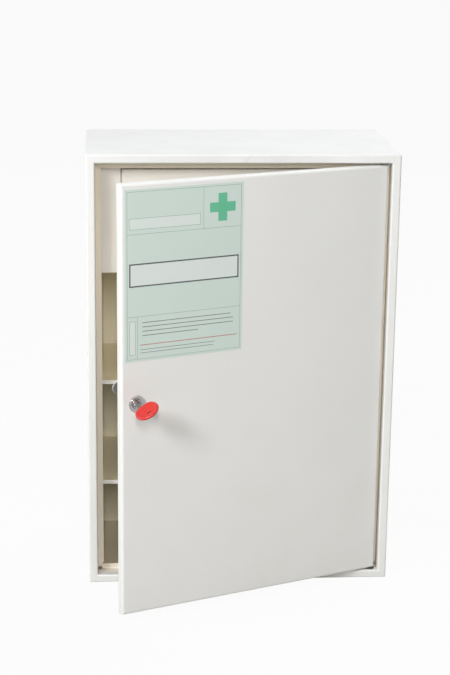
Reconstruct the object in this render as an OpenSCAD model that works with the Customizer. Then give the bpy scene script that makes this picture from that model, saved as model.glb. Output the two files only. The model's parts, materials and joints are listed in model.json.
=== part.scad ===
// Lockable wall cabinet of folded sheet steel, with an inner locker.
// Origin: middle of the underside. X to the right, Y to the back, Z up.
// The outer door stands ajar as drawn, and every other piece is at rest.

/* [Cabinet] */
// Outer width
body_w = 416; // [380:1:520]
// Outer height
body_h = 600; // [580:1:760]
// Outer depth
body_d = 230; // [200:1:320]
// Thickness of the folded sheet
sheet = 1.2; // [0.8:0.1:1.5]
// Inside radius of every bend but the door's
bend_r = 1.2; // [0.4:0.1:1.4]
// Inside radius of the door's bends
door_bend_r = 2.2; // [0.8:0.1:2.6]
// Width of the front face beside and above the door
face_w = 12; // [10:0.5:16]
// Width of the front face under the door
sill_w = 11; // [10:0.5:16]
// Depth of the rebate that the door closes into
rebate_d = 25; // [24:0.5:32]
// Height of the lip behind the door at each side
side_lip = 8; // [7:0.5:14]
// Height of the lip behind the door at the top
top_lip = 10; // [9:0.5:14]
// Height of the lip behind the door at the bottom
bottom_lip = 6.5; // [5.5:0.5:12]
// Width of the flange round the back panel
rear_flange = 12; // [8:0.5:20]
// Size of the square relief in the two lower corners of the rebate
corner_relief = 6; // [3:0.5:8]

/* [Wall fixing] */
// Distance between the wall holes across
fixing_w = 280; // [200:1:340]
// Distance between the wall holes up
fixing_h = 460; // [380:1:500]
// Diameter of the wall holes
fixing_d = 7; // [5:0.5:10]

/* [Shelves] */
// Height of the lower shelf's top
lower_shelf_z = 138; // [100:1:180]
// Height of the upper shelf's top
upper_shelf_z = 283; // [240:1:320]
// Height of a shelf's turned-down edge
shelf_edge = 5.5; // [4:0.5:12]
// Distance from the front plane to the shelves and the locker's front
inner_y = 35; // [34:0.5:50]
// Clearance round a shelf
shelf_gap = 1; // [0.5:0.1:2]
// Leg of the angle rails under the shelves
rail_leg = 12; // [8:0.5:20]

/* [Locker] */
// Height of the locker's underside
locker_z = 434.5; // [400:0.5:450]
// Width of the locker's upright at each side, from the cabinet's outer face
locker_stile = 46; // [40:0.5:80]
// Distance from the locker opening's top to the cabinet's outer top
locker_header = 23.5; // [22:0.5:40]
// Height of the locker's bottom rail
locker_rail = 24; // [18:0.5:40]
// Width of the stop behind the free edge of the locker's door
locker_stop = 6; // [4:0.5:8]
// Height of the locker floor's turned-up edges
floor_edge = 12; // [8:0.5:20]
// Thickness of the locker's door
locker_door_t = 10; // [9:0.5:10]
// Gap round the locker's door, at the top, bottom and lock side
locker_gap = 1.5; // [1:0.1:2.5]
// Gap at the locker door's hinge side
locker_gap_hinge = 2; // [2:0.1:3]
// Distance of the locker's pivot from the door's edge
locker_pivot_x = 3.5; // [3.2:0.1:4]
// Distance of the locker's pivot from the door's face
locker_pivot_y = 4; // [3.6:0.1:4.5]
// Diameter of the locker's pivot pins
locker_pin_d = 3; // [2.5:0.1:3.2]

/* [Door] */
// Angle at which the door stands open
door_angle = 22.2; // [10:0.1:60]
// Thickness of the door
door_t = 15; // [14.5:0.5:18]
// Distance of the shut door's face behind the cabinet's front plane
recess = 4; // [3:0.5:5]
// Gap at the door's hinge side
gap_hinge = 5.2; // [5:0.1:8]
// Gap at the door's lock side
gap_lock = 1.6; // [1.5:0.1:5]
// Gap above the door
gap_top = 3; // [3:0.5:6]
// Gap under the door
gap_bottom = 2; // [1.5:0.1:3.5]
// Width of the door's rear flange
door_lip = 10; // [8:0.5:11]
// Diameter of the rubber buffers
buffer_d = 7; // [6:0.5:10]
// Distance of the pivot from the door's hinge edge
pivot_in_x = 4.5; // [4:0.1:5.5]
// Distance of the pivot from the door's face
pivot_in_y = 5; // [4.5:0.1:6]
// Diameter of the pivot pins
pin_d = 5; // [4:0.1:5.5]
// Width of the stiffener's raised middle
stiffener_w = 44; // [30:1:80]
// Height that the stiffener stands off the door's front sheet
stiffener_h = 13; // [8:0.5:13]

/* [Label] */
// Width of the label
label_w = 164; // [100:1:200]
// Height of the label
label_h = 220.5; // [120:1:240]
// Distance of the label from the door's free edge
label_in = 5.5; // [4:0.5:20]
// Distance of the label from the door's top
label_down = 7; // [5:0.5:40]
// Thickness of the label
label_t = 0.25; // [0.1:0.05:0.5]

/* [Lock] */
// Distance of the lock from the door's free edge
lock_in = 21.6; // [21:0.1:30]
// Height of the lock above the door's lower edge
lock_up = 288.5; // [285:0.5:330]
// Distance of the locker's lock from its door's free edge
locker_lock_in = 20; // [18:0.5:26]
// Diameter of the lock's rosette
rosette_d = 22.5; // [21:0.5:26]
// Thickness of the lock's rosette
rosette_t = 3; // [2:0.5:4]
// Diameter of the lock's threaded body
lock_body_d = 18; // [17:0.5:19]
// Diameter of the turning plug
plug_d = 12.5; // [12:0.1:13]
// Width of a cam
cam_w = 14; // [12:0.5:15]
// Distance from the plug's axis to the middle of the cam's round end
cam_reach = 24; // [23:0.5:30]
// Thickness of a cam
cam_t = 2; // [1.5:0.1:2.5]
// Angle of the cam above level as drawn
cam_angle = 45; // [0:1:90]

/* [Key] */
// Diameter of the key's head
head_d = 32; // [24:1:36]
// Thickness of the key's head
head_t = 8; // [4:0.5:10]
// Distance from the door's face to the middle of the head
head_out = 31.8; // [30:0.1:40]
// Width of the key's blade
blade_w = 8.6; // [7:0.1:8.8]
// Thickness of the key's blade
blade_t = 2.2; // [1.6:0.1:2.4]
// Depth of the keyway behind the door's face
keyway_depth = 15.5; // [12:0.5:16]
// Angle of the keyway above level as drawn
key_angle = 31; // [0:1:90]

/* [Hidden] */
$fn = 64;
half = sheet / 2;
// small overrun of a cutting shape past the face that it cuts
eps = 0.01;
over = 1;
// running clearance on the radius of a pin or plug
running = 0.05;
// clearance between pieces that move past each other
free_gap = 0.3;

front_y = -body_d / 2;
back_y = body_d / 2;
inner_w = body_w - 2 * sheet;
opening_w = body_w - 2 * face_w;
opening_low = sill_w;
opening_high = body_h - face_w;
back_panel_y = back_y - 2 * sheet;

// outer door as it is when closed
door_y = front_y + recess;
door_right = opening_w / 2 - gap_hinge;
door_left = -opening_w / 2 + gap_lock;
door_w = door_right - door_left;
door_low = opening_low + gap_bottom;
door_high = opening_high - gap_top;
door_h = door_high - door_low;
pivot_x = door_right - pivot_in_x;
pivot_y = door_y + pivot_in_y;
pin_engage = 14;
block_size = 12;
bush_wall = 1.5;
bush_d = pin_d + 2 * running + 2 * bush_wall;
bush_flange_d = bush_d + 4;
bush_flange_t = gap_bottom - free_gap;
bush_body = min(face_w, sill_w) - 2 * sheet - over;
// the buffers reach to just before the lips of the rebate
buffer_t = rebate_d - recess - door_t - free_gap;
buffer_from_edge = 6.4;
buffer_in = 45;
buffer_spacing = door_w - 2 * buffer_in;
stiffener_foot = 14;
stiffener_end = 14;

// locks
lock_x = door_left + lock_in;
lock_z = door_low + lock_up;
cam_gap = 0.8;
cam_seat = rebate_d + sheet - recess + cam_gap;
nut_t = 4;
nut_across = 23;
boss = 7;
screw_d = 4;
screw_head_d = 7.4;
screw_head_t = 2.4;
screw_depth = 6;
key_clear = 0.3;
tang = 11;
ring_hole_d = 4.5;
rim_r = head_t / 2 - 1;

// locker
locker_front = front_y + inner_y;
locker_open_w = body_w - 2 * locker_stile;
locker_open_low = locker_z + locker_rail;
locker_open_high = body_h - locker_header;
locker_right = locker_open_w / 2 - locker_gap_hinge;
locker_left = -locker_open_w / 2 + locker_gap;
locker_door_w = locker_right - locker_left;
locker_door_low = locker_open_low + locker_gap;
locker_door_h = locker_open_high - locker_gap - locker_door_low;
locker_hinge_x = locker_right - locker_pivot_x;
locker_hinge_y = locker_front + locker_pivot_y;
locker_lip = 8;
locker_block = 7;
locker_pin_engage = 9;
locker_lock_x = locker_left + locker_lock_in;
locker_lock_z = locker_door_low + locker_door_h / 2;
locker_return = locker_door_t + free_gap + sheet;
locker_cam_seat = locker_return + cam_gap;

off_white = [0.93, 0.92, 0.89];
steel = [0.72, 0.73, 0.75];
chrome = [0.85, 0.86, 0.88];
nylon = [0.2, 0.2, 0.21];
rubber = [0.15, 0.15, 0.15];
label_green = [0.77, 0.84, 0.8];
key_red = [0.9, 0.2, 0.17];

// ---- folded sheet ----

// direction of the run of sheet from point i to the next
function way(p, i) = (p[i + 1] - p[i]) / norm(p[i + 1] - p[i]);

// Outline of a folded sheet along a centre line whose runs are square to each other
module folded(p) {
    mid = bend_r + half;
    last = len(p) - 1;
    for (i = [0:last - 1]) {
        a = p[i] + (i > 0 ? mid : 0) * way(p, i);
        b = p[i + 1] - (i < last - 1 ? mid : 0) * way(p, i);
        side = half * [abs(way(p, i).y), abs(way(p, i).x)];
        low = [min(a.x, b.x), min(a.y, b.y)] - side;
        high = [max(a.x, b.x), max(a.y, b.y)] + side;
        translate(low) square(high - low);
    }
    for (i = [1:last - 1]) {
        centre = p[i] + mid * (way(p, i) - way(p, i - 1));
        outer = bend_r + sheet;
        corner = outer * (way(p, i - 1) - way(p, i));
        translate(centre) intersection() {
            difference() {
                circle(outer);
                circle(bend_r);
            }
            translate([min(0, corner.x), min(0, corner.y)]) square(outer);
        }
    }
}

// A folded strip: X inward from the outer edge, Y to the back, Z along its length.
// Its ends are cut back at 45 degrees, so four of them meet in mitres.
module mitred(p, long, inward, deep) {
    intersection() {
        linear_extrude(height = long, center = true) folded(p);
        translate([0, -over, 0]) rotate([-90, 0, 0]) linear_extrude(height = deep + 2 * over)
            polygon([[-eps, long / 2 + eps], [-eps, -long / 2 - eps],
                [inward, -long / 2 + inward], [inward, long / 2 - inward]]);
    }
}

// ---- cabinet ----

function panel_path(face, lip) = [[face + lip, rebate_d + half], [face - half, rebate_d + half],
    [face - half, half], [half, half], [half, body_d - half], [rear_flange, body_d - half]];

panel_inward = max(face_w, sill_w) + max(side_lip, top_lip, bottom_lip, rear_flange) + over;

module panel(face, lip, long) {
    mitred(panel_path(face, lip), long, panel_inward, body_d);
}

// Square relief where a side's lip meets the bottom's
module corner_reliefs() {
    for (side = [-1, 1])
        translate([side * (opening_w / 2 - corner_relief / 2), front_y + rebate_d, opening_low])
            cube([corner_relief, 2 * corner_relief, 4 * sheet], center = true);
}

module side_panel() {
    difference() {
        translate([-body_w / 2, front_y, body_h / 2]) panel(face_w, side_lip, body_h);
        corner_reliefs();
    }
}

module left_panel() {
    color(off_white) side_panel();
}

module right_panel() {
    color(off_white) mirror([1, 0, 0]) side_panel();
}

module bush_hole(low) {
    translate([pivot_x, pivot_y, low - over]) cylinder(d = bush_d, h = sheet + 2 * over);
}

module top_panel() {
    color(off_white) difference() {
        translate([0, front_y, body_h]) rotate([0, 90, 0]) panel(face_w, top_lip, body_w);
        bush_hole(opening_high);
    }
}

module bottom_panel() {
    color(off_white) difference() {
        translate([0, front_y, 0]) rotate([0, -90, 0]) panel(sill_w, bottom_lip, body_w);
        bush_hole(opening_low - sheet);
        corner_reliefs();
    }
}

module back_panel() {
    wide = inner_w - 2 * bend_r;
    high = body_h - 2 * sheet - 2 * bend_r;
    color(off_white) difference() {
        translate([-wide / 2, back_panel_y, (body_h - high) / 2]) cube([wide, sheet, high]);
        for (x = [-1, 1], z = [-1, 1])
            translate([x * fixing_w / 2, back_panel_y - over, body_h / 2 + z * fixing_h / 2])
                rotate([-90, 0, 0]) cylinder(d = fixing_d, h = sheet + 2 * over);
    }
}

// ---- shelves ----

// Tray with its edges turned down on all four sides
module shelf(top_z) {
    wide = inner_w - 2 * shelf_gap;
    deep = back_panel_y - shelf_gap - locker_front;
    translate([-wide / 2, locker_front, top_z - shelf_edge]) difference() {
        cube([wide, deep, shelf_edge]);
        translate([sheet, sheet, -over])
            cube([wide - 2 * sheet, deep - 2 * sheet, shelf_edge - sheet + over]);
    }
}

module upper_shelf() {
    color(off_white) shelf(upper_shelf_z);
}

module lower_shelf() {
    color(off_white) shelf(lower_shelf_z);
}

// Angle rail on the left wall, with its level leg under the shelf's edge
module rail(top_z) {
    long = back_panel_y - shelf_gap - locker_front - 2 * rail_leg;
    translate([-inner_w / 2, locker_front + rail_leg, top_z]) union() {
        translate([0, 0, -rail_leg]) cube([sheet, long, rail_leg]);
        translate([0, 0, -sheet]) cube([rail_leg, long, sheet]);
    }
}

module shelf_rails() {
    color(off_white) for (top_z = [lower_shelf_z, upper_shelf_z], side = [0, 1])
        mirror([side, 0, 0]) rail(top_z - shelf_edge);
}

// ---- locker ----

module locker_floor() {
    wide = inner_w;
    deep = back_panel_y - locker_front - sheet;
    color(off_white) translate([-wide / 2, locker_front + sheet, locker_z]) difference() {
        cube([wide, deep, floor_edge]);
        translate([sheet, -over, sheet])
            cube([wide - 2 * sheet, deep - sheet + over, floor_edge]);
    }
}

module locker_frame() {
    high = body_h - sheet - locker_z;
    open_h = locker_open_high - locker_open_low;
    color(off_white) translate([0, locker_front, 0]) difference() {
        union() {
            translate([-inner_w / 2, 0, locker_z]) cube([inner_w, sheet, high]);
            translate([-locker_open_w / 2 - sheet, 0, locker_open_low - sheet])
                cube([locker_open_w + 2 * sheet, locker_return, open_h + 2 * sheet]);
        }
        translate([-locker_open_w / 2, -over, locker_open_low])
            cube([locker_open_w, locker_return - sheet + over, open_h]);
        translate([-locker_open_w / 2 + locker_stop, -over, locker_open_low])
            cube([locker_open_w - locker_stop, locker_return + 2 * over, open_h]);
        translate([locker_hinge_x, locker_pivot_y, locker_open_low - sheet - over])
            cylinder(d = locker_pin_d + 2 * running, h = open_h + 2 * sheet + 2 * over);
    }
}

// ---- pivots ----

// Flanged bush, its flange on the door's side and its body in the hollow of the frame
module bush() {
    difference() {
        union() {
            cylinder(d = bush_flange_d, h = bush_flange_t);
            translate([0, 0, -sheet - bush_body + over]) cylinder(d = bush_d, h = sheet + bush_body);
        }
        translate([0, 0, -2 * bush_body])
            cylinder(d = pin_d + 2 * running, h = 4 * bush_body);
    }
}

module pivot_bushes() {
    color(nylon) {
        translate([pivot_x, pivot_y, opening_low]) bush();
        translate([pivot_x, pivot_y, opening_high]) mirror([0, 0, 1]) bush();
    }
}

// ---- outer door, drawn closed and then swung ajar ----

module ajar() {
    translate([pivot_x, pivot_y, 0]) rotate([0, 0, door_angle])
        translate([-pivot_x, -pivot_y, 0]) children();
}

module rounded(wide, deep, r) {
    translate([r, 0]) square([wide - 2 * r, deep]);
    translate([0, r]) square([wide, deep - 2 * r]);
    for (x = [r, wide - r], y = [r, deep - r])
        translate([x, y]) circle(r);
}

// Box whose front and back edges are rounded
module rounded_box(wide, deep, high, r) {
    intersection() {
        linear_extrude(height = high) rounded(wide, deep, r);
        rotate([90, 0, 90]) linear_extrude(height = wide) rounded(deep, high, r);
    }
}

// Pan of folded sheet: front at Y 0, lower left corner at the origin, open behind
module pan(wide, high, deep, lip, bend) {
    difference() {
        rounded_box(wide, deep, high, bend + sheet);
        translate([sheet, sheet, sheet])
            rounded_box(wide - 2 * sheet, deep - 2 * sheet, high - 2 * sheet, bend);
        translate([lip, deep - sheet - over, lip])
            cube([wide - 2 * lip, sheet + 2 * over, high - 2 * lip]);
    }
}

module at_pivot() {
    translate([pivot_x, pivot_y, 0]) children();
}

module door_pan() {
    color(off_white) ajar() difference() {
        translate([door_left, door_y, door_low])
            pan(door_w, door_h, door_t, door_lip, door_bend_r);
        translate([lock_x, door_y - over, lock_z]) rotate([-90, 0, 0])
            cylinder(d = lock_body_d, h = sheet + 2 * over);
        at_pivot() translate([0, 0, door_low - over]) cylinder(d = pin_d, h = door_h + 2 * over);
    }
}

// Upright hat section on the back of the door's front sheet
module door_stiffener() {
    top = stiffener_h - half;
    side = stiffener_w / 2 - half;
    foot = stiffener_w / 2 + stiffener_foot;
    color(off_white) ajar()
        translate([(door_left + door_right) / 2, door_y + sheet, door_low + stiffener_end])
            linear_extrude(height = door_h - 2 * stiffener_end)
                folded([[-foot, half], [-side, half], [-side, top], [side, top], [side, half],
                    [foot, half]]);
}

// Steel block in each corner of the pan at the hinge side
module pivot_block(base_z) {
    translate([door_right - sheet - block_size, door_y + sheet, base_z]) difference() {
        cube([block_size, block_size, pin_engage]);
        translate([pivot_x - door_right + sheet + block_size, pivot_in_y - sheet, -over])
            cylinder(d = pin_d, h = pin_engage + 2 * over);
        // chamfers that clear the inside of the pan's bends
        for (y = [0, door_t - 2 * sheet])
            translate([block_size, y, -over]) linear_extrude(height = pin_engage + 2 * over)
                polygon([[-door_bend_r, 0], [0, -door_bend_r], [door_bend_r, 0], [0, door_bend_r]]);
    }
}

module pivot_blocks() {
    color(steel) ajar() {
        pivot_block(door_low + sheet + door_bend_r);
        pivot_block(door_high - sheet - door_bend_r - pin_engage);
    }
}

module pivot_pins() {
    inside = sheet + door_bend_r + pin_engage;
    color(steel) ajar() at_pivot() {
        lower = opening_low - sheet - bush_body + over;
        upper = opening_high + sheet + bush_body - over;
        translate([0, 0, lower]) cylinder(d = pin_d, h = door_low + inside - lower);
        translate([0, 0, door_high - inside]) cylinder(d = pin_d, h = upper - door_high + inside);
    }
}

module door_buffers() {
    middle = (door_left + door_right) / 2;
    color(rubber) ajar() for (x = [-1, 1], z = [door_low + buffer_from_edge, door_high - buffer_from_edge])
        translate([middle + x * buffer_spacing / 2, door_y + door_t, z]) rotate([-90, 0, 0])
            cylinder(d = buffer_d, h = buffer_t);
}

module door_label() {
    color(label_green) ajar()
        translate([door_left + label_in, door_y - label_t, door_high - label_down - label_h])
            cube([label_w, label_t, label_h]);
}

// ---- cam locks: local Y to the back from the door's face, which is at Y 0 ----

module along_y() {
    rotate([-90, 0, 0]) children();
}

module housing(long) {
    bore = plug_d + 2 * running;
    difference() {
        along_y() rotate_extrude() polygon([[0, -rosette_t], [rosette_d / 2 - 1, -rosette_t],
            [rosette_d / 2, -rosette_t + 1], [rosette_d / 2, 0], [lock_body_d / 2, 0],
            [lock_body_d / 2, long], [0, long]]);
        translate([0, -rosette_t - over, 0]) along_y() cylinder(d = bore, h = long + 2 * rosette_t);
    }
}

module nut() {
    translate([0, sheet, 0]) along_y() difference() {
        cylinder(d = nut_across / cos(30), h = nut_t, $fn = 6);
        translate([0, 0, -over]) cylinder(d = lock_body_d, h = nut_t + 2 * over);
    }
}

// Turning plug with a keyway, a square boss for the cam and a hole for the screw
module plug(seat, slot, key_turn, cam_turn) {
    front = rosette_t + 0.4;
    difference() {
        union() {
            translate([0, -front, 0]) along_y() cylinder(d = plug_d, h = seat + front);
            rotate([0, cam_turn, 0]) translate([-boss / 2, seat - over, -boss / 2])
                cube([boss, cam_t + over, boss]);
        }
        rotate([0, -key_turn, 0])
            translate([-blade_w / 2 - key_clear, -front - over, -blade_t / 2 - key_clear])
                cube([blade_w + 2 * key_clear, slot + front + over, blade_t + 2 * key_clear]);
        translate([0, seat + cam_t - screw_depth, 0]) along_y()
            cylinder(d = screw_d, h = screw_depth + over);
    }
}

// Cam that points to the left, with a square hole over the plug's boss
module cam(seat) {
    translate([0, seat, 0]) difference() {
        union() {
            along_y() cylinder(d = cam_w, h = cam_t);
            translate([-cam_reach, 0, 0]) along_y() cylinder(d = cam_w, h = cam_t);
            translate([-cam_reach, 0, -cam_w / 2]) cube([cam_reach, cam_t, cam_w]);
        }
        translate([-boss / 2, -over, -boss / 2]) cube([boss, cam_t + 2 * over, boss]);
    }
}

module screw(seat) {
    slot_w = 1;
    translate([0, seat + cam_t - screw_depth, 0]) difference() {
        union() {
            along_y() cylinder(d = screw_d, h = screw_depth);
            translate([0, screw_depth, 0]) along_y() cylinder(d = screw_head_d, h = screw_head_t);
        }
        for (turn = [0, 90])
            translate([0, screw_depth + screw_head_t / 2, 0]) rotate([0, turn, 0])
                translate([-screw_head_d / 4, 0, -slot_w / 2])
                    cube([screw_head_d / 2, screw_head_t, slot_w]);
    }
}

module at_lock() {
    ajar() translate([lock_x, door_y, lock_z]) children();
}

module lock_housing() {
    color(chrome) at_lock() housing(cam_seat - free_gap);
}

module lock_nut() {
    color(chrome) at_lock() nut();
}

module lock_plug() {
    color(chrome) at_lock() plug(cam_seat, keyway_depth, key_angle, cam_angle);
}

module lock_cam() {
    color(steel) at_lock() rotate([0, cam_angle, 0]) cam(cam_seat);
}

module cam_screw() {
    color(steel) at_lock() screw(cam_seat);
}

// ---- key ----

module at_key() {
    at_lock() rotate([0, -key_angle, 0]) children();
}

// Flat blade with a few cuts along one edge
module key_blade() {
    tip = keyway_depth - key_clear;
    start = -head_out + head_d / 2 - tang;
    wide = blade_w / 2;
    cut = blade_w / 4;
    pitch = 3;
    cuts = 4;
    first = -rosette_t + pitch;
    color(steel) at_key() translate([0, 0, -blade_t / 2]) linear_extrude(height = blade_t) difference() {
        polygon([[-wide, start], [wide, start], [wide, tip - cut], [wide - cut, tip],
            [-wide + cut, tip], [-wide, tip - cut]]);
        for (i = [0:cuts - 1])
            translate([wide, first + i * pitch]) rotate(45) square(cut * (1 + i % 2) / 2, center = true);
    }
}

module key_head() {
    color(key_red) at_key() translate([0, -head_out, 0]) difference() {
        rotate_extrude() union() {
            translate([0, -head_t / 2]) square([head_d / 2 - rim_r, head_t]);
            translate([0, rim_r - head_t / 2]) square([head_d / 2, head_t - 2 * rim_r]);
            for (side = [-1, 1])
                translate([head_d / 2 - rim_r, side * (head_t / 2 - rim_r)]) circle(rim_r);
        }
        translate([-blade_w / 2, head_d / 2 - tang, -blade_t / 2]) cube([blade_w, tang + over, blade_t]);
        translate([0, -head_d / 4, -head_t]) cylinder(d = ring_hole_d, h = 2 * head_t);
    }
}

// ---- locker door and its lock ----

module locker_door() {
    color(off_white) difference() {
        translate([locker_left, locker_front, locker_door_low])
            pan(locker_door_w, locker_door_h, locker_door_t, locker_lip, bend_r);
        translate([locker_lock_x, locker_front - over, locker_lock_z]) along_y()
            cylinder(d = lock_body_d, h = sheet + 2 * over);
        translate([locker_hinge_x, locker_hinge_y, locker_door_low - over])
            cylinder(d = locker_pin_d, h = locker_door_h + 2 * over);
    }
}

module locker_pivot_block(base_z) {
    translate([locker_right - sheet - locker_block, locker_front + sheet, base_z]) difference() {
        cube([locker_block, locker_block, locker_pin_engage]);
        translate([locker_block + sheet - locker_pivot_x, locker_pivot_y - sheet, -over])
            cylinder(d = locker_pin_d, h = locker_pin_engage + 2 * over);
        translate([locker_block - bend_r, -over, -over])
            cube([bend_r + over, bend_r + over, locker_pin_engage + 2 * over]);
    }
}

module locker_pivot_blocks() {
    inside = sheet + bend_r;
    color(steel) {
        locker_pivot_block(locker_door_low + inside);
        locker_pivot_block(locker_door_low + locker_door_h - inside - locker_pin_engage);
    }
}

module locker_pivot_pins() {
    outside = locker_gap + sheet + over;
    inside = sheet + bend_r + locker_pin_engage;
    color(steel) for (base_z = [locker_door_low - outside, locker_door_low + locker_door_h - inside])
        translate([locker_hinge_x, locker_hinge_y, base_z])
            cylinder(d = locker_pin_d, h = outside + inside);
}

module at_locker_lock() {
    translate([locker_lock_x, locker_front, locker_lock_z]) children();
}

module locker_lock_housing() {
    color(chrome) at_locker_lock() housing(locker_cam_seat - free_gap);
}

module locker_lock_nut() {
    color(chrome) at_locker_lock() nut();
}

module locker_lock_plug() {
    slot = locker_cam_seat - screw_depth;
    color(chrome) at_locker_lock() plug(locker_cam_seat, slot, 90, 90);
}

module locker_lock_cam() {
    color(steel) at_locker_lock() rotate([0, 90, 0]) cam(locker_cam_seat);
}

module locker_cam_screw() {
    color(steel) at_locker_lock() screw(locker_cam_seat);
}

left_panel();
right_panel();
top_panel();
bottom_panel();
back_panel();
upper_shelf();
lower_shelf();
shelf_rails();
locker_floor();
locker_frame();
pivot_bushes();
door_pan();
door_stiffener();
pivot_blocks();
pivot_pins();
door_buffers();
door_label();
lock_housing();
lock_nut();
lock_plug();
lock_cam();
cam_screw();
key_blade();
key_head();
locker_door();
locker_pivot_blocks();
locker_pivot_pins();
locker_lock_housing();
locker_lock_nut();
locker_lock_plug();
locker_lock_cam();
locker_cam_screw();
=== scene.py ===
"""Looks for the lockable wall cabinet: coated sheet steel, chromed locks, moulded key, printed label."""
import json
import math

import bmesh
import bpy
from mathutils import Matrix, Vector


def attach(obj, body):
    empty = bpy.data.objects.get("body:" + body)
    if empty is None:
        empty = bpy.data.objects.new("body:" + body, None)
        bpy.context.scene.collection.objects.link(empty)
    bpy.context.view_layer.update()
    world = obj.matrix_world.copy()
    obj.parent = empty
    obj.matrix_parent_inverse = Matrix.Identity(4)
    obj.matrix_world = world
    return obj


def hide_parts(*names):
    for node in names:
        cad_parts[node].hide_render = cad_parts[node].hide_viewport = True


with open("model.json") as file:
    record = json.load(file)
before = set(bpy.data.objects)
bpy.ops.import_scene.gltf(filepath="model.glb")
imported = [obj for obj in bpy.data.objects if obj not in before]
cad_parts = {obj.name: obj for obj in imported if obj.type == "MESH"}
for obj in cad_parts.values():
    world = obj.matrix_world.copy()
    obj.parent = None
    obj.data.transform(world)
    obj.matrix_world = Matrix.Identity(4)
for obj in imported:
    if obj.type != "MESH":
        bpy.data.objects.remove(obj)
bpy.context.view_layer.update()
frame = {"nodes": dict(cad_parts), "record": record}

MM = 0.001

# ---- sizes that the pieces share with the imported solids, in metres ----
joints = {j["name"]: j for j in frame["record"]["behaviour"]["joints"]}
PIVOT = Vector(joints["door_hinge"]["pos_m"])
LOCK = Vector(joints["lock_turn"]["pos_m"])
LOCKER_LOCK = Vector(joints["locker_lock_turn"]["pos_m"])
AJAR = math.radians(-joints["door_hinge"]["range_deg"][0])
KEY_ANGLE = math.radians(31)
# the door when it is shut
PIVOT_TO_FACE = 5 * MM
DOOR_FACE_Y = PIVOT.y - PIVOT_TO_FACE
DOOR_T = 15 * MM
DOOR_LEFT = -194.4 * MM
DOOR_RIGHT = 190.8 * MM
DOOR_LOW = 13 * MM
DOOR_HIGH = 585 * MM

# planes within the thickness of the shell's walls, in mm: the faces between them are the inner ones
SHELL_X, SHELL_BACK, SHELL_LOW, SHELL_TOP = 207.4, 113.6, 0.6, 599.4

TURN = Matrix.Rotation(AJAR, 4, "Z")
TO_DOOR = Matrix.Translation(PIVOT) @ TURN @ Matrix.Translation(-PIVOT)
TO_LOCK = Matrix.Translation(LOCK) @ TURN
TO_KEY = TO_LOCK @ Matrix.Rotation(-KEY_ANGLE, 4, "Y")
TO_LOCKER_LOCK = Matrix.Translation(LOCKER_LOCK)


# ---- materials ----

def colour(code):
    """Linear RGBA of an sRGB hex code."""
    parts = [int(code[i:i + 2], 16) / 255 for i in (0, 2, 4)]
    return tuple(c / 12.92 if c <= 0.04045 else ((c + 0.055) / 1.055) ** 2.4 for c in parts) + (1.0,)


def add(tree, kind, inputs=(), **settings):
    """Adds a node. Settings are its properties, and inputs pair a socket with a value or an output."""
    node = tree.nodes.new(kind)
    for name, value in settings.items():
        setattr(node, name, value)
    for socket, value in dict(inputs).items():
        if isinstance(value, bpy.types.NodeSocket):
            tree.links.new(value, node.inputs[socket])
        else:
            node.inputs[socket].default_value = value
    return node


def material(name):
    """An empty node material and its tree."""
    made = bpy.data.materials.new(name)
    made.use_nodes = True
    made.node_tree.nodes.clear()
    return made, made.node_tree


def finish_with(tree, shader):
    """Ends a material's tree with its shader."""
    add(tree, "ShaderNodeOutputMaterial", {"Surface": shader.outputs[0]})


def per_mm(size):
    """Noise scale for a feature of that many millimetres."""
    return 1 / (size * MM)


def within(tree, place, low, high, blend):
    """1 where the place lies inside a box in millimetres, fading over the blend, 0 outside it."""
    split = add(tree, "ShaderNodeSeparateXYZ", {0: place})
    result = None
    for axis in range(3):
        for wall, way in ((low[axis], 1), (high[axis], -1)):
            step = add(tree, "ShaderNodeMapRange", {"Value": split.outputs[axis], "From Min": wall * MM,
                                                    "From Max": (wall + way * blend) * MM})
            result = step.outputs[0] if result is None else add(
                tree, "ShaderNodeMath", {0: result, 1: step.outputs[0]}, operation="MULTIPLY").outputs[0]
    return result


# colours that handling and light turn the coat and the inks towards
HANDLED_COAT = "C9C5BC"
FADED_INK = "E4E8E4"


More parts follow.
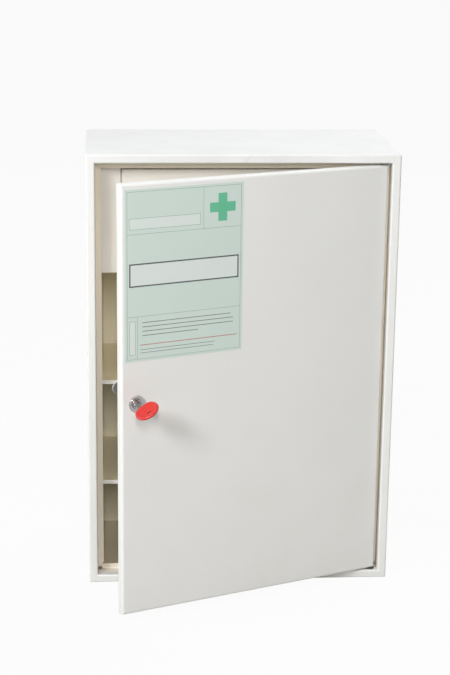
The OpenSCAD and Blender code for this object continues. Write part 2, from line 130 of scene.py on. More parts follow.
def powder_coat(name, light, dark, roughness, scuffs, shade_linings=()):
    """Polyester powder coat on sheet steel: semi-matt, with a faint orange-peel ripple and a cloudy tone.

    Each shade lining is a colour and a depth in mm. It is painted warm shade, and colours the shell's inner
    faces from there to the back.
    """
    cloud_size, mark_size, peel_size = 90, 24, 2.5
    shade_edge = 0.8
    made, tree = material(name)
    place = add(tree, "ShaderNodeTexCoord").outputs["Object"]
    cloud = add(tree, "ShaderNodeTexNoise", {"Vector": place, "Scale": per_mm(cloud_size), "Detail": 3.0,
                                             "Roughness": 0.55})
    tone = add(tree, "ShaderNodeMapRange", {"Value": cloud.outputs["Fac"], "From Min": 0.35,
                                            "From Max": 0.68})
    coat = add(tree, "ShaderNodeMix", {0: tone.outputs[0], 6: colour(light), 7: colour(dark)},
               data_type="RGBA")
    coat_colour = coat.outputs[2]
    # painted shade: the inner faces behind each depth take that lining's warm colour
    for code, start in shade_linings:
        inside = within(tree, place, (-SHELL_X, start, SHELL_LOW), (SHELL_X, SHELL_BACK, SHELL_TOP),
                        shade_edge)
        coat_colour = add(tree, "ShaderNodeMix", {0: inside, 6: coat_colour, 7: colour(code)},
                          data_type="RGBA").outputs[2]
    # handling marks: short, thin and faint
    streak_place = add(tree, "ShaderNodeMapping", {"Vector": place, "Scale": (1.0, 3.2, 1.0)})
    streak = add(tree, "ShaderNodeTexNoise", {"Vector": streak_place.outputs[0], "Scale": per_mm(mark_size),
                                              "Detail": 5.0, "Roughness": 0.7, "Distortion": 0.6})
    marks = add(tree, "ShaderNodeMapRange", {"Value": streak.outputs["Fac"], "From Min": 0.6,
                                             "From Max": 0.78, "To Max": scuffs})
    worn = add(tree, "ShaderNodeMix", {0: marks.outputs[0], 6: coat_colour, 7: colour(HANDLED_COAT)},
               data_type="RGBA")
    gloss = add(tree, "ShaderNodeMapRange", {"Value": streak.outputs["Fac"], "To Min": roughness - 0.025,
                                             "To Max": roughness + 0.055})
    # orange peel is about 1.5 mm across on the real coat, drawn at 2.5 mm so that it shows
    peel = add(tree, "ShaderNodeTexNoise", {"Vector": place, "Scale": per_mm(peel_size), "Detail": 1.0})
    ripple = add(tree, "ShaderNodeBump", {"Height": peel.outputs["Fac"], "Strength": 0.22,
                                          "Distance": 0.05 * MM})
    shader = add(tree, "ShaderNodeBsdfPrincipled", {"Base Color": worn.outputs[2],
                                                    "Roughness": gloss.outputs[0],
                                                    "Normal": ripple.outputs[0], "IOR": 1.5})
    finish_with(tree, shader)
    return made


def plated(name, light, dark, roughness, grain):
    """Bright metal: a plated or polished surface with a faint directional grain of that size in mm."""
    made, tree = material(name)
    place = add(tree, "ShaderNodeTexCoord").outputs["Object"]
    stretched = add(tree, "ShaderNodeMapping", {"Vector": place, "Scale": (1.0, 1.0, 9.0)})
    lines = add(tree, "ShaderNodeTexNoise", {"Vector": stretched.outputs[0], "Scale": per_mm(grain),
                                             "Detail": 4.0, "Roughness": 0.6})
    tone = add(tree, "ShaderNodeMix", {0: lines.outputs["Fac"], 6: colour(light), 7: colour(dark)},
               data_type="RGBA")
    gloss = add(tree, "ShaderNodeMapRange", {"Value": lines.outputs["Fac"], "To Min": roughness * 0.6,
                                             "To Max": roughness * 1.4})
    bump = add(tree, "ShaderNodeBump", {"Height": lines.outputs["Fac"], "Strength": 0.12,
                                        "Distance": 0.02 * MM})
    shader = add(tree, "ShaderNodeBsdfPrincipled", {"Base Color": tone.outputs[2], "Metallic": 1.0,
                                                    "Roughness": gloss.outputs[0],
                                                    "Normal": bump.outputs[0]})
    finish_with(tree, shader)
    return made


def moulded(name, light, dark, roughness, grain, gloss_coat=0.0):
    """Moulded plastic or rubber: an even colour with a fine skin grain of that size in mm."""
    cloud_size = 14
    made, tree = material(name)
    place = add(tree, "ShaderNodeTexCoord").outputs["Object"]
    cloud = add(tree, "ShaderNodeTexNoise", {"Vector": place, "Scale": per_mm(cloud_size), "Detail": 3.0})
    tone = add(tree, "ShaderNodeMix", {0: cloud.outputs["Fac"], 6: colour(light), 7: colour(dark)},
               data_type="RGBA")
    skin = add(tree, "ShaderNodeTexNoise", {"Vector": place, "Scale": per_mm(grain), "Detail": 2.0})
    gloss = add(tree, "ShaderNodeMapRange", {"Value": cloud.outputs["Fac"], "To Min": roughness - 0.05,
                                             "To Max": roughness + 0.08})
    bump = add(tree, "ShaderNodeBump", {"Height": skin.outputs["Fac"], "Strength": 0.2,
                                        "Distance": 0.03 * MM})
    shader = add(tree, "ShaderNodeBsdfPrincipled", {"Base Color": tone.outputs[2],
                                                    "Roughness": gloss.outputs[0],
                                                    "Normal": bump.outputs[0], "IOR": 1.49,
                                                    "Coat Weight": gloss_coat, "Coat Roughness": 0.08})
    finish_with(tree, shader)
    return made


def printed_film(name, ink):
    """Printed polypropylene label film: satin, ink a little uneven, laid flat on the coat."""
    cloud_size, skin_size = 30, 6
    made, tree = material(name)
    place = add(tree, "ShaderNodeTexCoord").outputs["Object"]
    cloud = add(tree, "ShaderNodeTexNoise", {"Vector": place, "Scale": per_mm(cloud_size), "Detail": 3.0})
    fade = add(tree, "ShaderNodeMapRange", {"Value": cloud.outputs["Fac"], "To Min": 0.0, "To Max": 0.14})
    tone = add(tree, "ShaderNodeMix", {0: fade.outputs[0], 6: colour(ink), 7: colour(FADED_INK)},
               data_type="RGBA")
    skin = add(tree, "ShaderNodeTexNoise", {"Vector": place, "Scale": per_mm(skin_size), "Detail": 2.0})
    bump = add(tree, "ShaderNodeBump", {"Height": skin.outputs["Fac"], "Strength": 0.15,
                                        "Distance": 0.03 * MM})
    gloss = add(tree, "ShaderNodeMapRange", {"Value": skin.outputs["Fac"], "To Min": 0.34, "To Max": 0.46})
    shader = add(tree, "ShaderNodeBsdfPrincipled", {"Base Color": tone.outputs[2],
                                                    "Roughness": gloss.outputs[0],
                                                    "Normal": bump.outputs[0], "IOR": 1.49})
    finish_with(tree, shader)
    return made


# painted warm shade inside: beige in the door's rebate and deeper yellow in the bays behind it, where only
# bounced light reaches; the inner cream is partly the paint's own colour
REBATE_SHADE_COLOUR, BAY_SHADE_COLOUR, INNER_CREAM_AND_SHADE = "EFE5D4", "FAECC8", "FAF2D6"
# depths in mm at which the painted shade of the rebate, the bays and a shelf's tread behind its front edge
# starts
REBATE_Y, BAY_Y, TREAD_Y = -104.0, -86.0, -79.4
SHELL_PAINTED_SHADE = ((REBATE_SHADE_COLOUR, REBATE_Y), (BAY_SHADE_COLOUR, BAY_Y))

# outside coat: a clean off-white, almost neutral
coat_outer = powder_coat("off_white_powder_coat", "EDEDEA", "EBEBE7", 0.42, 0.07)
# side panels: the same coat outside, with painted warm shade on their inner faces
coat_shell = powder_coat("off_white_powder_coat_shaded_inside", "EEEEEB", "EAEAE6", 0.42, 0.10, SHELL_PAINTED_SHADE)
# the base's batch cured glossier: the bay's floor mirrors the back panel faintly. Painted warm shade on its
# inner faces, as on the sides
coat_base = powder_coat("off_white_powder_coat_base", "EEEEEB", "EAEAE6", 0.22, 0.10, SHELL_PAINTED_SHADE)
# locker front: off-white warmed half-way to the inside cream, partly its own tone and partly painted warm
# shade for its shaded stile
coat_locker = powder_coat("off_white_powder_coat_warm_shade", "F2EEE5", "EEE9DF", 0.45, 0.10)
# top panel: the same coat, with the marks of things put down on it, and painted warm shade on its inner
# faces
coat_top = powder_coat("off_white_powder_coat_worn", "EEEEEC", "E8E8E6", 0.46, 0.45, SHELL_PAINTED_SHADE)
# inside coat: partly the paint's own cream, and partly painted warm shade, made yellower so that the shaded
# bays deepen to khaki
coat_inner = powder_coat("cream_powder_coat", INNER_CREAM_AND_SHADE, "F7EDCE", 0.48, 0.08)
# shelves: off-white, with the bays' painted warm shade on the tread behind the front edge
coat_shelf = powder_coat("cream_powder_coat_shelf", "F3F1EA", "EFEDE5", 0.2, 0.08, ((BAY_SHADE_COLOUR, TREAD_Y),))
# back panel: off-white on the wall side; inside the cabinet the inner cream, partly painted warm shade
coat_back = powder_coat("off_white_powder_coat_back", "EEEEEB", "EAEAE6", 0.48, 0.08,
                        ((INNER_CREAM_AND_SHADE, BAY_Y),))
# chrome plate on die-cast zinc: bright with a slightly soft reflection
chrome_plate = plated("chrome_plated_zinc", "B6B3B3", "9A9797", 0.12, 3.0)
# zinc plate on steel: greyer and duller than chrome
zinc_plate = plated("zinc_plated_steel", "B9B9B6", "9A9A97", 0.34, 2.0)
# moulded polypropylene key head: signal red with a soft gloss
red_head = moulded("red_moulded_plastic", "D8261C", "CA1E16", 0.33, 0.8, 0.1)
# moulded nylon bush: dark grey, matt
nylon_bush = moulded("dark_grey_nylon", "525252", "474747", 0.5, 1.0)
# rubber buffer: near black, matt
rubber_foot = moulded("black_rubber", "242424", "1B1B1B", 0.72, 0.6)
# label film: pale green ground, with darker green, grey and red inks
film_ground = printed_film("label_pale_green", "CFDFD7")
film_rule = printed_film("label_grey_green_rule", "8FB0A2")
film_field = printed_film("label_blank_field", "DDE6E1")
film_mark = printed_film("label_green_mark", "52B88D")
film_dark = printed_film("label_dark_ink", "3A4240")
film_red = printed_film("label_red_ink", "B4503C")


def paint(node, made):
    """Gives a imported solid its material."""
    mesh = frame["nodes"][node].data
    if not mesh.materials:
        mesh.materials.append(made)
    for i in range(len(mesh.materials)):
        mesh.materials[i] = made


# ---- mesh building ----

def shaded(piece, smooth_under):
    """Smooth shading with sharp creases above an angle in degrees."""
    piece.data.polygons.foreach_set("use_smooth", [True] * len(piece.data.polygons))
    piece.data.set_sharp_from_angle(angle=math.radians(smooth_under))
    return piece


def finished(bm, name, made, place=Matrix.Identity(4), smooth_under=35):
    """Closes off a mesh as an object at the origin, with its place in its mesh."""
    bmesh.ops.transform(bm, matrix=place, verts=bm.verts)
    mesh = bpy.data.meshes.new(name)
    bm.to_mesh(mesh)
    bm.free()
    for one in made if isinstance(made, (list, tuple)) else [made]:
        mesh.materials.append(one)
    piece = bpy.data.objects.new(name, mesh)
    bpy.context.collection.objects.link(piece)
    return shaded(piece, smooth_under)


def applied(piece):
    """Makes a piece's modifiers part of its mesh."""
    graph = bpy.context.evaluated_depsgraph_get()
    mesh = bpy.data.meshes.new_from_object(piece.evaluated_get(graph))
    piece.modifiers.clear()
    old = piece.data
    piece.data = mesh
    bpy.data.meshes.remove(old)
    return piece


def lathe(bm, profile, steps=96):
    """Turns a profile of (radius, y) in metres round the Y axis into a closed skin.

    A profile that starts and ends off the axis is joined end to end, which leaves a bore.
    """
    rings = []
    for radius, y in profile:
        if radius == 0:
            rings.append([bm.verts.new((0, y, 0))])
        else:
            angles = [2 * math.pi * i / steps for i in range(steps)]
            rings.append([bm.verts.new((radius * math.cos(a), y, radius * math.sin(a))) for a in angles])
    pairs = list(zip(rings, rings[1:]))
    if len(rings[0]) > 1 and len(rings[-1]) > 1:
        pairs.append((rings[-1], rings[0]))
    for low, high in pairs:
        for i in range(steps):
            j = (i + 1) % steps
            corners = [low[i % len(low)], low[j % len(low)], high[j % len(high)], high[i % len(high)]]
            unique = list(dict.fromkeys(corners))
            if len(unique) > 2:
                bm.faces.new(unique)
    bmesh.ops.recalc_face_normals(bm, faces=bm.faces)


def arc(centre, radius, start, end, steps=6):
    """Points of an arc in (radius, y), angles in degrees."""
    angles = [math.radians(start + (end - start) * i / steps) for i in range(steps + 1)]
    return [(centre[0] + radius * math.cos(a), centre[1] + radius * math.sin(a)) for a in angles]


def in_mm(points):
    """Points given in mm, in metres."""
    return [(a * MM, b * MM) for a, b in points]


def block(low, high, place=Matrix.Identity(4)):
    """A box between two corners in mm, to cut with."""
    bm = bmesh.new()
    bmesh.ops.create_cube(bm, size=1)
    for vert in bm.verts:
        vert.co = Vector([(low[i] if vert.co[i] < 0 else high[i]) * MM for i in range(3)])
    return finished(bm, "cutter", coat_outer, place)


def cut_by(piece, cutters):
    """Takes each cutter out of a piece."""
    for cutter in cutters:
        cut = piece.modifiers.new("cut", "BOOLEAN")
        cut.object = cutter
        cut.solver = "EXACT"
        applied(piece)
        bpy.data.objects.remove(cutter)
    return piece


def softened(node, made, width, name, cutters=()):
    """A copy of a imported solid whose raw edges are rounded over, standing for that solid."""
    same_point = 0.002 * MM
    # angles in degrees
    flat, raw_edge, crease = 0.5, 40, 30
    bm = bmesh.new()
    bm.from_mesh(frame["nodes"][node].data)
    bmesh.ops.remove_doubles(bm, verts=bm.verts, dist=same_point)
    bmesh.ops.dissolve_limit(bm, angle_limit=math.radians(flat), verts=bm.verts, edges=bm.edges)
    piece = finished(bm, name, made, smooth_under=crease)
    bevel = piece.modifiers.new("edges", "BEVEL")
    bevel.width = width
    bevel.segments = 2
    bevel.limit_method = "ANGLE"
    bevel.angle_limit = math.radians(raw_edge)
    bevel.harden_normals = True
    applied(piece)
    if cutters:
        shaded(cut_by(piece, cutters), crease)
    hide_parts(node)
    return piece


def placed(piece, body):
    """Makes a piece move with its body."""
    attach(piece, body)
    return piece


# ---- Geometry Nodes ----

def node_tree(name, wanted):
    """A Geometry Nodes tree with named inputs. Returns it and its input sockets by name."""
    tree = bpy.data.node_groups.new(name, "GeometryNodeTree")
    tree.interface.new_socket("Geometry", in_out="INPUT", socket_type="NodeSocketGeometry")
    for size, kind in wanted.items():
        tree.interface.new_socket(size, in_out="INPUT", socket_type=kind)
    tree.interface.new_socket("Geometry", in_out="OUTPUT", socket_type="NodeSocketGeometry")
    start = tree.nodes.new("NodeGroupInput")
    return tree, {socket.name: socket for socket in start.outputs if socket.name}


def end_tree(tree, geometry, finish):
    """Closes a tree with Realize Instances and Set Material."""
    real = add(tree, "GeometryNodeRealizeInstances", {"Geometry": geometry})
    painted = add(tree, "GeometryNodeSetMaterial", {"Geometry": real.outputs[0], "Material": finish})
    add(tree, "NodeGroupOutput", {0: painted.outputs[0]})


def grown(name, tree, sizes, base=None):
    """Runs a tree on a base piece, or on an empty one, and keeps the result as a plain mesh."""
    piece = base
    if not piece:
        piece = bpy.data.objects.new(name, bpy.data.meshes.new(name))
        bpy.context.collection.objects.link(piece)
    modifier = piece.modifiers.new(tree.name, "NODES")
    modifier.node_group = tree
    sockets = {s.name: s.identifier for s in tree.interface.items_tree if s.in_out == "INPUT"}
    for size, value in sizes.items():
        modifier[sockets[size]] = value
    applied(piece)
    return piece


# ---- sheet-metal pieces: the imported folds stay, and raw-cut trays get their rounded folds ----

for node in ("left_panel", "right_panel"):
    paint(node, coat_shell)
paint("bottom_panel", coat_base)
for node in ("door_pan", "door_stiffener"):
    paint(node, coat_outer)
paint("locker_door", coat_locker)
paint("top_panel", coat_top)
paint("back_panel", coat_back)
for node in ("locker_floor", "shelf_rails"):
    paint(node, coat_inner)

for node in ("upper_shelf", "lower_shelf"):
    placed(softened(node, coat_shelf, 0.7 * MM, node + "_folded"), "cabinet")
placed(softened("locker_frame", coat_locker, 0.5 * MM, "locker_frame_folded"), "cabinet")


# ---- locks ----

def thread_tree():
    """Grows a right-hand helical ridge round the Y axis and joins it to the barrel it is given."""
    points_a_turn, ridge_sides = 40, 6
    tree, sizes = node_tree("helical_thread", {
        "Radius": "NodeSocketFloat", "Start": "NodeSocketFloat", "Turns": "NodeSocketFloat",
        "Length": "NodeSocketFloat", "Ridge": "NodeSocketFloat", "Finish": "NodeSocketMaterial"})
    helix = add(tree, "GeometryNodeCurveSpiral", {"Resolution": points_a_turn, "Rotations": sizes["Turns"],
                                                  "Start Radius": sizes["Radius"],
                                                  "End Radius": sizes["Radius"],
                                                  "Height": sizes["Length"]})
    section = add(tree, "GeometryNodeCurvePrimitiveCircle", {"Resolution": ridge_sides,
                                                             "Radius": sizes["Ridge"]})
    ridge = add(tree, "GeometryNodeCurveToMesh", {"Curve": helix.outputs[0],
                                                  "Profile Curve": section.outputs[0], "Fill Caps": True})
    start = add(tree, "ShaderNodeCombineXYZ", {"Y": sizes["Start"]})
    laid = add(tree, "GeometryNodeTransform", {"Geometry": ridge.outputs[0], "Translation": start.outputs[0],
                                               "Rotation": (-math.pi / 2, 0, 0)})
    both = tree.nodes.new("GeometryNodeJoinGeometry")
    tree.links.new(sizes["Geometry"], both.inputs[0])
    tree.links.new(laid.outputs[0], both.inputs[0])
    end_tree(tree, both.outputs[0], sizes["Finish"])
    return tree


THREAD = thread_tree()


def housing(name, long, place, body, node):
    """Cam lock housing: rounded rosette, shallow dish round the plug, threaded body."""
    rim, barrel, bore = 11.25, 9.0, 6.3
    proud, rounding = 3.0, 1.6
    dish, outer, inner = 0.4, 8.2, 7.6
    pitch, ridge, start, lead = 1.5, 0.5, 5.6, 0.6
    root = barrel - 0.45
    turned = proud - rounding
    front = arc((rim - rounding, -turned), rounding, 0, -90)
    front += [(rim - rounding - 1.0, -proud), (outer, 0.1 - proud), (inner, dish - proud),
              (bore + 0.3, dish - proud), (bore, dish + 0.3 - proud)]
    back = [(rim, -turned), (rim, 0), (barrel, 0), (barrel, start - 0.5), (root, start), (root, long - lead),
            (root - 0.5, long), (bore, long)]
    bm = bmesh.new()
    lathe(bm, in_mm(list(reversed(front[1:])) + back))
    barrel_piece = finished(bm, name, chrome_plate, smooth_under=50)
    length = long - start - 2 * ridge - lead
    piece = grown(name, THREAD, {"Radius": (barrel - ridge) * MM, "Start": (start + ridge) * MM,
                                 "Turns": length / pitch, "Length": length * MM, "Ridge": ridge * MM,
                                 "Finish": chrome_plate}, barrel_piece)
    piece.data.transform(place)
    shaded(piece, 50)
    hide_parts(node)
    return placed(piece, body)


def cam_screw(name, seat, place, body, node):
    """Pan-head screw through the cam, with a cross recess."""
    shank, head, high, depth, crown = 2.0, 3.7, 2.4, 6.0, 1.7
    cam_t = 2.0
    top = seat + cam_t
    profile = [(0, top - depth), (shank - 0.3, top - depth), (shank, top - depth + 0.4), (shank, top),
               (head, top), (head, top + 0.6)]
    profile += arc((head - crown, top + high - crown), crown, 15, 80) + [(0, top + high)]
    bm = bmesh.new()
    lathe(bm, in_mm(profile), 48)
    piece = finished(bm, name, zinc_plate, place, smooth_under=40)
    reach, slot, recess = 1.85, 0.5, 1.2
    floor = top + high - recess
    cut_by(piece, [block((-reach, floor, -slot), (reach, top + 2 * high, slot), place),
                   block((-slot, floor, -reach), (slot, top + 2 * high, reach), place)])
    shaded(piece, 40)
    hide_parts(node)
    return placed(piece, body)


# length of each barrel, and where each cam seats, in mm behind the door's face
housing("lock_rosette_and_barrel", 22.7, TO_LOCK, "door", "lock_housing")
housing("locker_rosette_and_barrel", 12.0, TO_LOCKER_LOCK, "locker_door_body", "locker_lock_housing")
for node, body, slot, made, width in (
        ("lock_plug", "lock", "chromed_zinc", chrome_plate, 0.25),
        ("locker_lock_plug", "locker_lock", "chromed_zinc", chrome_plate, 0.25),
        ("lock_cam", "lock", "plated_steel", zinc_plate, 0.35),
        ("locker_lock_cam", "locker_lock", "plated_steel", zinc_plate, 0.35),
        ("lock_nut", "door", "chromed_zinc", chrome_plate, 0.45),
        ("locker_lock_nut", "locker_door_body", "chromed_zinc", chrome_plate, 0.45),
        ("pivot_blocks", "door", "plated_steel", zinc_plate, 0.5),
        ("locker_pivot_blocks", "locker_door_body", "plated_steel", zinc_plate, 0.4)):
    placed(softened(node, made, width * MM, node + "_eased"), body)
cam_screw("cam_screw_pan_head", 23.0, TO_LOCK, "lock", "cam_screw")
cam_screw("locker_cam_screw_pan_head", 12.3, TO_LOCKER_LOCK, "locker_lock", "locker_cam_screw")
for node in ("pivot_pins", "locker_pivot_pins"):
    paint(node, zinc_plate)
paint("pivot_bushes", nylon_bush)


# ---- key ----

def key_head():
    """Moulded head: faces with a sunk panel, rounded edge, a countersunk ring hole and a neck for the blade.

    It droops a little from the blade, as a key does in a worn plug.
    """
    round_r, shoulder, squareness, droop = 15.9, 14.0, 8, 8.0
    centre = -31.8
    steps = 120

    def outline(inset):
        """Round, and flattened on the side of the blade."""
        points = []
        for i in range(steps):
            angle = 2 * math.pi * i / steps
            c, s = math.cos(angle), math.sin(angle)
            flat = max(s, 0.0) / (shoulder - inset)
            grow = ((round_r - inset) ** -squareness + flat ** squareness) ** (-1 / squareness)
            points.append((c * grow, centre + s * grow))
        return points

    # inset from the outline and height, from the middle of the edge over to the panel
    edge = [(0.0, 0.0), (0.05, 0.6), (0.3, 1.2), (0.8, 1.75), (1.4, 2.1), (2.0, 2.35), (2.5, 2.4),
            (3.0, 2.3), (3.3, 2.1), (3.8, 1.95), (8.0, 1.98), (12.0, 2.0)]
    bm = bmesh.new()
    rings = []
    for inset, z in [(i, -z) for i, z in reversed(edge[1:])] + edge:
        rings.append([bm.verts.new((x * MM, y * MM, z * MM)) for x, y in outline(inset)])
    for low, high in zip(rings, rings[1:]):
        for i in range(steps):
            j = (i + 1) % steps
            bm.faces.new((low[i], low[j], high[j], high[i]))
    bm.faces.new(rings[0])
    bm.faces.new(rings[-1])
    bmesh.ops.recalc_face_normals(bm, faces=bm.faces)
    head = finished(bm, "key_head_moulding", red_head)

    # ring hole: its radius and height from the countersink's mouth to the middle of its wall
    mouth, beyond, hole_back, hole_steps = 3.6, 8, 8.5, 48
    wall = [(mouth, -2.3), (3.1, -1.7), (2.8, -1.2), (2.6, -0.6)]
    low_half = [(0, -beyond), (mouth, -beyond)] + wall
    bm = bmesh.new()
    lathe(bm, in_mm(low_half + [(r, -z) for r, z in reversed(low_half)]), hole_steps)
    upright = Matrix.Translation((0, (centre - hole_back) * MM, 0)) @ Matrix.Rotation(math.pi / 2, 4, "X")
    cut_by(head, [finished(bm, "ring_hole_cutter", red_head, upright)])
    middle = Matrix.Translation((0, centre * MM, 0))
    head.data.transform(middle @ Matrix.Rotation(math.radians(droop), 4, "X") @ middle.inverted())

    # neck
    wide, long, thick, easing, neck_y = 10.4, 6.4, 4.2, 1.2, -19.6
    bm = bmesh.new()
    bm.from_mesh(head.data)
    size = Matrix.Diagonal((wide * MM, long * MM, thick * MM, 1))
    seat = Matrix.Translation((0, neck_y * MM, 0))
    neck = set(bmesh.ops.create_cube(bm, size=1, matrix=seat @ size)["verts"])
    bmesh.ops.bevel(bm, geom=[e for e in bm.edges if e.verts[0] in neck], offset=easing * MM, segments=3,
                    affect="EDGES", profile=0.5)
    bm.to_mesh(head.data)
    bm.free()
    head.data.transform(TO_KEY)
    shaded(head, 40)
    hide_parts("key_head")
    return placed(head, "key")


key_head()
# blade: eased edges, with a milled groove along each face
groove_floor, groove_ends, clear = 0.65, (-30.0, 20.0), 3.0
grooves = [block((-2.6, groove_ends[0], groove_floor), (-1.0, groove_ends[1], clear), TO_KEY),
           block((0.9, groove_ends[0], -clear), (2.3, groove_ends[1], -groove_floor), TO_KEY)]
placed(softened("key_blade", zinc_plate, 0.15 * MM, "key_blade_grooved", grooves), "key")


# ---- buffers ----

def buffers():
    """Four domed rubber buffers in a rectangle on the door's back flange."""
    thick, radius, rounding, edge, inset = 5.7, 3.5, 1.4, 6.4, 45.0
    profile = [(0, 0), (radius, 0), (radius, thick - rounding - 0.1)]
    profile += arc((radius - rounding, thick - rounding), rounding, 0, 90, 5)
    profile += [(1.8, thick - 0.05), (1.3, thick - 0.5), (0, thick - 0.7)]
    bm = bmesh.new()
    lathe(bm, in_mm(profile), 40)
    one = finished(bm, "one_buffer", rubber_foot)

    tree, sizes = node_tree("buffer_rectangle", {
        "One buffer": "NodeSocketObject", "Across": "NodeSocketFloat", "Up": "NodeSocketFloat",
        "Finish": "NodeSocketMaterial"})
    shape = add(tree, "GeometryNodeObjectInfo", {"Object": sizes["One buffer"]})
    corners = add(tree, "GeometryNodeMeshGrid", {"Size X": sizes["Across"], "Size Y": sizes["Up"],
                                                 "Vertices X": 2, "Vertices Y": 2})
    upright = add(tree, "GeometryNodeTransform", {"Geometry": corners.outputs["Mesh"],
                                                  "Rotation": (math.pi / 2, 0, 0)})
    copies = add(tree, "GeometryNodeInstanceOnPoints", {"Points": upright.outputs[0],
                                                        "Instance": shape.outputs["Geometry"]})
    end_tree(tree, copies.outputs[0], sizes["Finish"])
    across = DOOR_RIGHT - DOOR_LEFT - 2 * inset * MM
    up = DOOR_HIGH - DOOR_LOW - 2 * edge * MM
    piece = grown("door_rubber_buffers", tree, {"One buffer": one, "Across": across, "Up": up,
                                                "Finish": rubber_foot})
    bpy.data.objects.remove(one)
    middle = Vector(((DOOR_LEFT + DOOR_RIGHT) / 2, DOOR_FACE_Y + DOOR_T, (DOOR_LOW + DOOR_HIGH) / 2))
    piece.data.transform(TO_DOOR @ Matrix.Translation(middle))
    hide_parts("door_buffers")
    return placed(piece, "door")


buffers()


# ---- label ----

def label():
    """Printed film label: ruled boxes, blank fields and lines on a pale ground, with one plain cross.

    Its layout is in mm from the label's lower left corner.
    """
    wide, high, thick = 164.0, 220.5, 0.25
    from_edge, from_top = 5.5, 7.0
    margin, rule = 2.8, 0.6
    inks = [film_ground, film_rule, film_field, film_mark, film_dark, film_red]
    GROUND, RULE, FIELD, MARK, DARK, RED = range(len(inks))
    # areas as (left, low, right, high, ink), later ones over earlier ones
    areas = []

    def boxed(x0, z0, x1, z1, fill=GROUND, ink=RULE, line=rule):
        """A filled box inside a ruled line."""
        areas.append((x0, z0, x1, z1, ink))
        areas.append((x0 + line, z0 + line, x1 - line, z1 - line, fill))

    low, left, right, top = margin, margin, wide - margin, high - margin
    # heading row, with a blank field and a box for the cross
    row = top - 54.0
    boxed(left, low, right, top)
    boxed(left, row, right, top)
    boxed(left + 105.0, row, right, top)
    boxed(left + 3.0, top - 48.0, left + 101.0, top - 33.5, FIELD)
    # plain equal-armed cross in its box
    cx, cz, arm, half = left + 132.0, top - 27.5, 18.0, 6.2
    areas.append((cx - arm, cz - half, cx + arm, cz + half, MARK))
    areas.append((cx - half, cz - arm, cx + half, cz + arm, MARK))
    # blank field for a name
    boxed(left + 3.0, top - 121.0, right - 3.0, top - 91.0, FIELD, DARK, 1.8)
    # ruled lines to write on, one of them red, and a blank strip at their left
    foot = low + 56.0
    boxed(left, low, right, foot)
    boxed(left, low, left + 14.5, foot)
    boxed(left + 3.0, low + 6.0, left + 11.5, foot - 6.0, FIELD)
    # as (indent, height, how far short of the right, thickness, ink)
    lines = [(21.0, foot - 9.0 - i * 5.6, short, 0.8, DARK) for i, short in enumerate((14, 10, 10, 60))]
    lines.append((18.0, low + 18.0, 4.0, 0.9, RED))
    lines += [(18.0, low + 12.0 - i * 4.2, short, 0.6, DARK) for i, short in enumerate((36, 38))]
    for indent, z, short, line, ink in lines:
        areas.append((left + indent, z, right - short, z + line, ink))

    xs = sorted({0, wide} | {a[0] for a in areas} | {a[2] for a in areas})
    zs = sorted({0, high} | {a[1] for a in areas} | {a[3] for a in areas})
    bm = bmesh.new()
    corner = Vector((DOOR_LEFT + from_edge * MM, DOOR_FACE_Y - thick * MM,
                     DOOR_HIGH - (from_top + high) * MM))
    grid = {}
    for i, x in enumerate(xs):
        for k, z in enumerate(zs):
            grid[i, k] = bm.verts.new(corner + Vector((x, 0, z)) * MM)
    for i in range(len(xs) - 1):
        for k in range(len(zs) - 1):
            face = bm.faces.new((grid[i, k], grid[i + 1, k], grid[i + 1, k + 1], grid[i, k + 1]))
            mx, mz = (xs[i] + xs[i + 1]) / 2, (zs[k] + zs[k + 1]) / 2
            for x0, z0, x1, z1, ink in areas:
                if x0 < mx < x1 and z0 < mz < z1:
                    face.material_index = ink
    # thin edge and back: the rim's corners in order, each with one behind it
    last_x, last_z = len(xs) - 1, len(zs) - 1
    rim = [grid[i, 0] for i in range(last_x)] + [grid[last_x, k] for k in range(last_z)]
    rim += [grid[i, last_z] for i in range(last_x, 0, -1)] + [grid[0, k] for k in range(last_z, 0, -1)]
    behind = [bm.verts.new(vert.co + Vector((0, thick * MM, 0))) for vert in rim]
    for i in range(len(rim)):
        bm.faces.new((rim[i - 1], behind[i - 1], behind[i], rim[i]))
    bm.faces.new(behind)
    bmesh.ops.recalc_face_normals(bm, faces=bm.faces)
    piece = finished(bm, "door_label_film", inks, TO_DOOR)
    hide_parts("door_label")
    return placed(piece, "door")


label()


# ---- studio: pale floor, soft light, camera ----

WHITE = (1, 1, 1, 1)


def white_to_camera(tree, lit):
    """As much as lit for camera, glossy and transmission rays, and 0 for the rest."""
    path = add(tree, "ShaderNodeLightPath")
    one = add(tree, "ShaderNodeMath", {0: path.outputs["Is Camera Ray"], 1: path.outputs["Is Glossy Ray"]},
              operation="MAXIMUM")
    two = add(tree, "ShaderNodeMath", {0: one.outputs[0], 1: path.outputs["Is Transmission Ray"]},
              operation="MAXIMUM")
    return add(tree, "ShaderNodeMath", {0: two.outputs[0], 1: lit}, operation="MULTIPLY").outputs[0]


def softbox(name, azimuth, elevation, distance, size, level, tint):
    """Lamp of that width and height, aimed at the cabinet's middle.

    It gives a surface that faces it that level, where 1 shows white as white. Azimuth is to the right of
    straight ahead, as the viewer sees it.
    """
    aim = Vector((0, -0.12, 0.3))
    lamp = bpy.data.lights.new(name, "AREA")
    lamp.shape = "RECTANGLE"
    lamp.size, lamp.size_y = size
    lamp.energy = level * (math.pi * distance) ** 2
    lamp.color = tint
    obj = bpy.data.objects.new(name, lamp)
    bpy.context.collection.objects.link(obj)
    turn, rise = math.radians(azimuth), math.radians(elevation)
    way = Vector((math.sin(turn) * math.cos(rise), -math.cos(turn) * math.cos(rise), math.sin(rise)))
    obj.location = aim + way * distance
    obj.rotation_euler = way.to_track_quat("Z", "Y").to_euler()


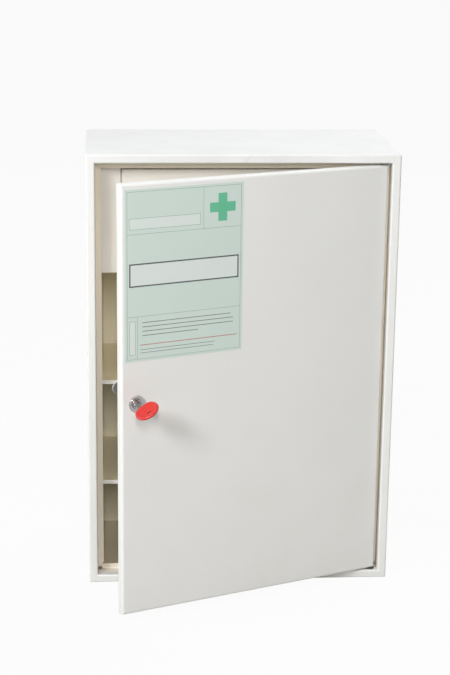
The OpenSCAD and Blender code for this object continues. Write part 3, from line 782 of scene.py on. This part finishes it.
def studio_floor():
    """Pale matt floor, which looks almost white and shows the cabinet's shadow faintly."""
    half, drop = 20, 0.4 * MM
    made, tree = material("studio_floor")
    matt = add(tree, "ShaderNodeBsdfDiffuse", {"Color": colour("CCCAC5")})
    glow = add(tree, "ShaderNodeEmission", {"Color": WHITE, "Strength": 1.0})
    share = white_to_camera(tree, 0.95)
    finish_with(tree, add(tree, "ShaderNodeMixShader", {0: share, 1: matt.outputs[0], 2: glow.outputs[0]}))
    bm = bmesh.new()
    bmesh.ops.create_grid(bm, x_segments=1, y_segments=1, size=half)
    finished(bm, "studio_floor", made, Matrix.Translation((0, 0, -drop)))


def studio_world():
    """A world that looks white and gives almost no light."""
    world = bpy.data.worlds.new("studio")
    bpy.context.scene.world = world
    world.use_nodes = True
    tree = world.node_tree
    tree.nodes.clear()
    seen = white_to_camera(tree, 1.0)
    strength = add(tree, "ShaderNodeMapRange", {"Value": seen, "To Min": 0.02, "To Max": 1.0})
    sky = add(tree, "ShaderNodeBackground", {"Color": WHITE, "Strength": strength.outputs[0]})
    add(tree, "ShaderNodeOutputWorld", {"Surface": sky.outputs[0]})


def viewpoint():
    """The camera, above the cabinet's top and a little to its left, with colours shown as they are."""
    camera = bpy.data.cameras.new("camera")
    camera.lens = 89.3
    camera.sensor_width = 36
    camera.sensor_fit = "AUTO"
    camera.clip_end = 100
    eye = bpy.data.objects.new("camera", camera)
    bpy.context.collection.objects.link(eye)
    eye.location = (-0.1869, -2.2815, 0.94677)
    eye.rotation_euler = [math.radians(a) for a in (74.6976, -0.6781, -4.1391)]
    bpy.context.scene.camera = eye
    bpy.context.scene.view_settings.view_transform = "Standard"


studio_floor()
studio_world()
softbox("key_softbox", -40, 31, 3.6, (0.85, 0.85), 0.50, (0.96, 0.98, 1.02))
softbox("left_softbox", -86, 15, 2.6, (1.2, 1.2), 0.30, (1.0, 0.99, 0.97))
# narrow, and above the camera: light from there gets past the door into the bays
softbox("front_strip", -5, 26, 2.5, (0.05, 0.9), 0.345, (1.0, 0.98, 0.97))
softbox("overhead_softbox", 0, 80, 2.4, (1.6, 1.6), 0.26, (0.98, 0.99, 1.01))
softbox("rear_softbox", 140, 44, 2.8, (1.6, 1.6), 0.42, (0.98, 0.99, 1.01))
softbox("right_softbox", 108, 14, 2.8, (1.2, 1.2), 0.16, (0.98, 0.99, 1.01))
viewpoint()

bpy.context.view_layer.update()
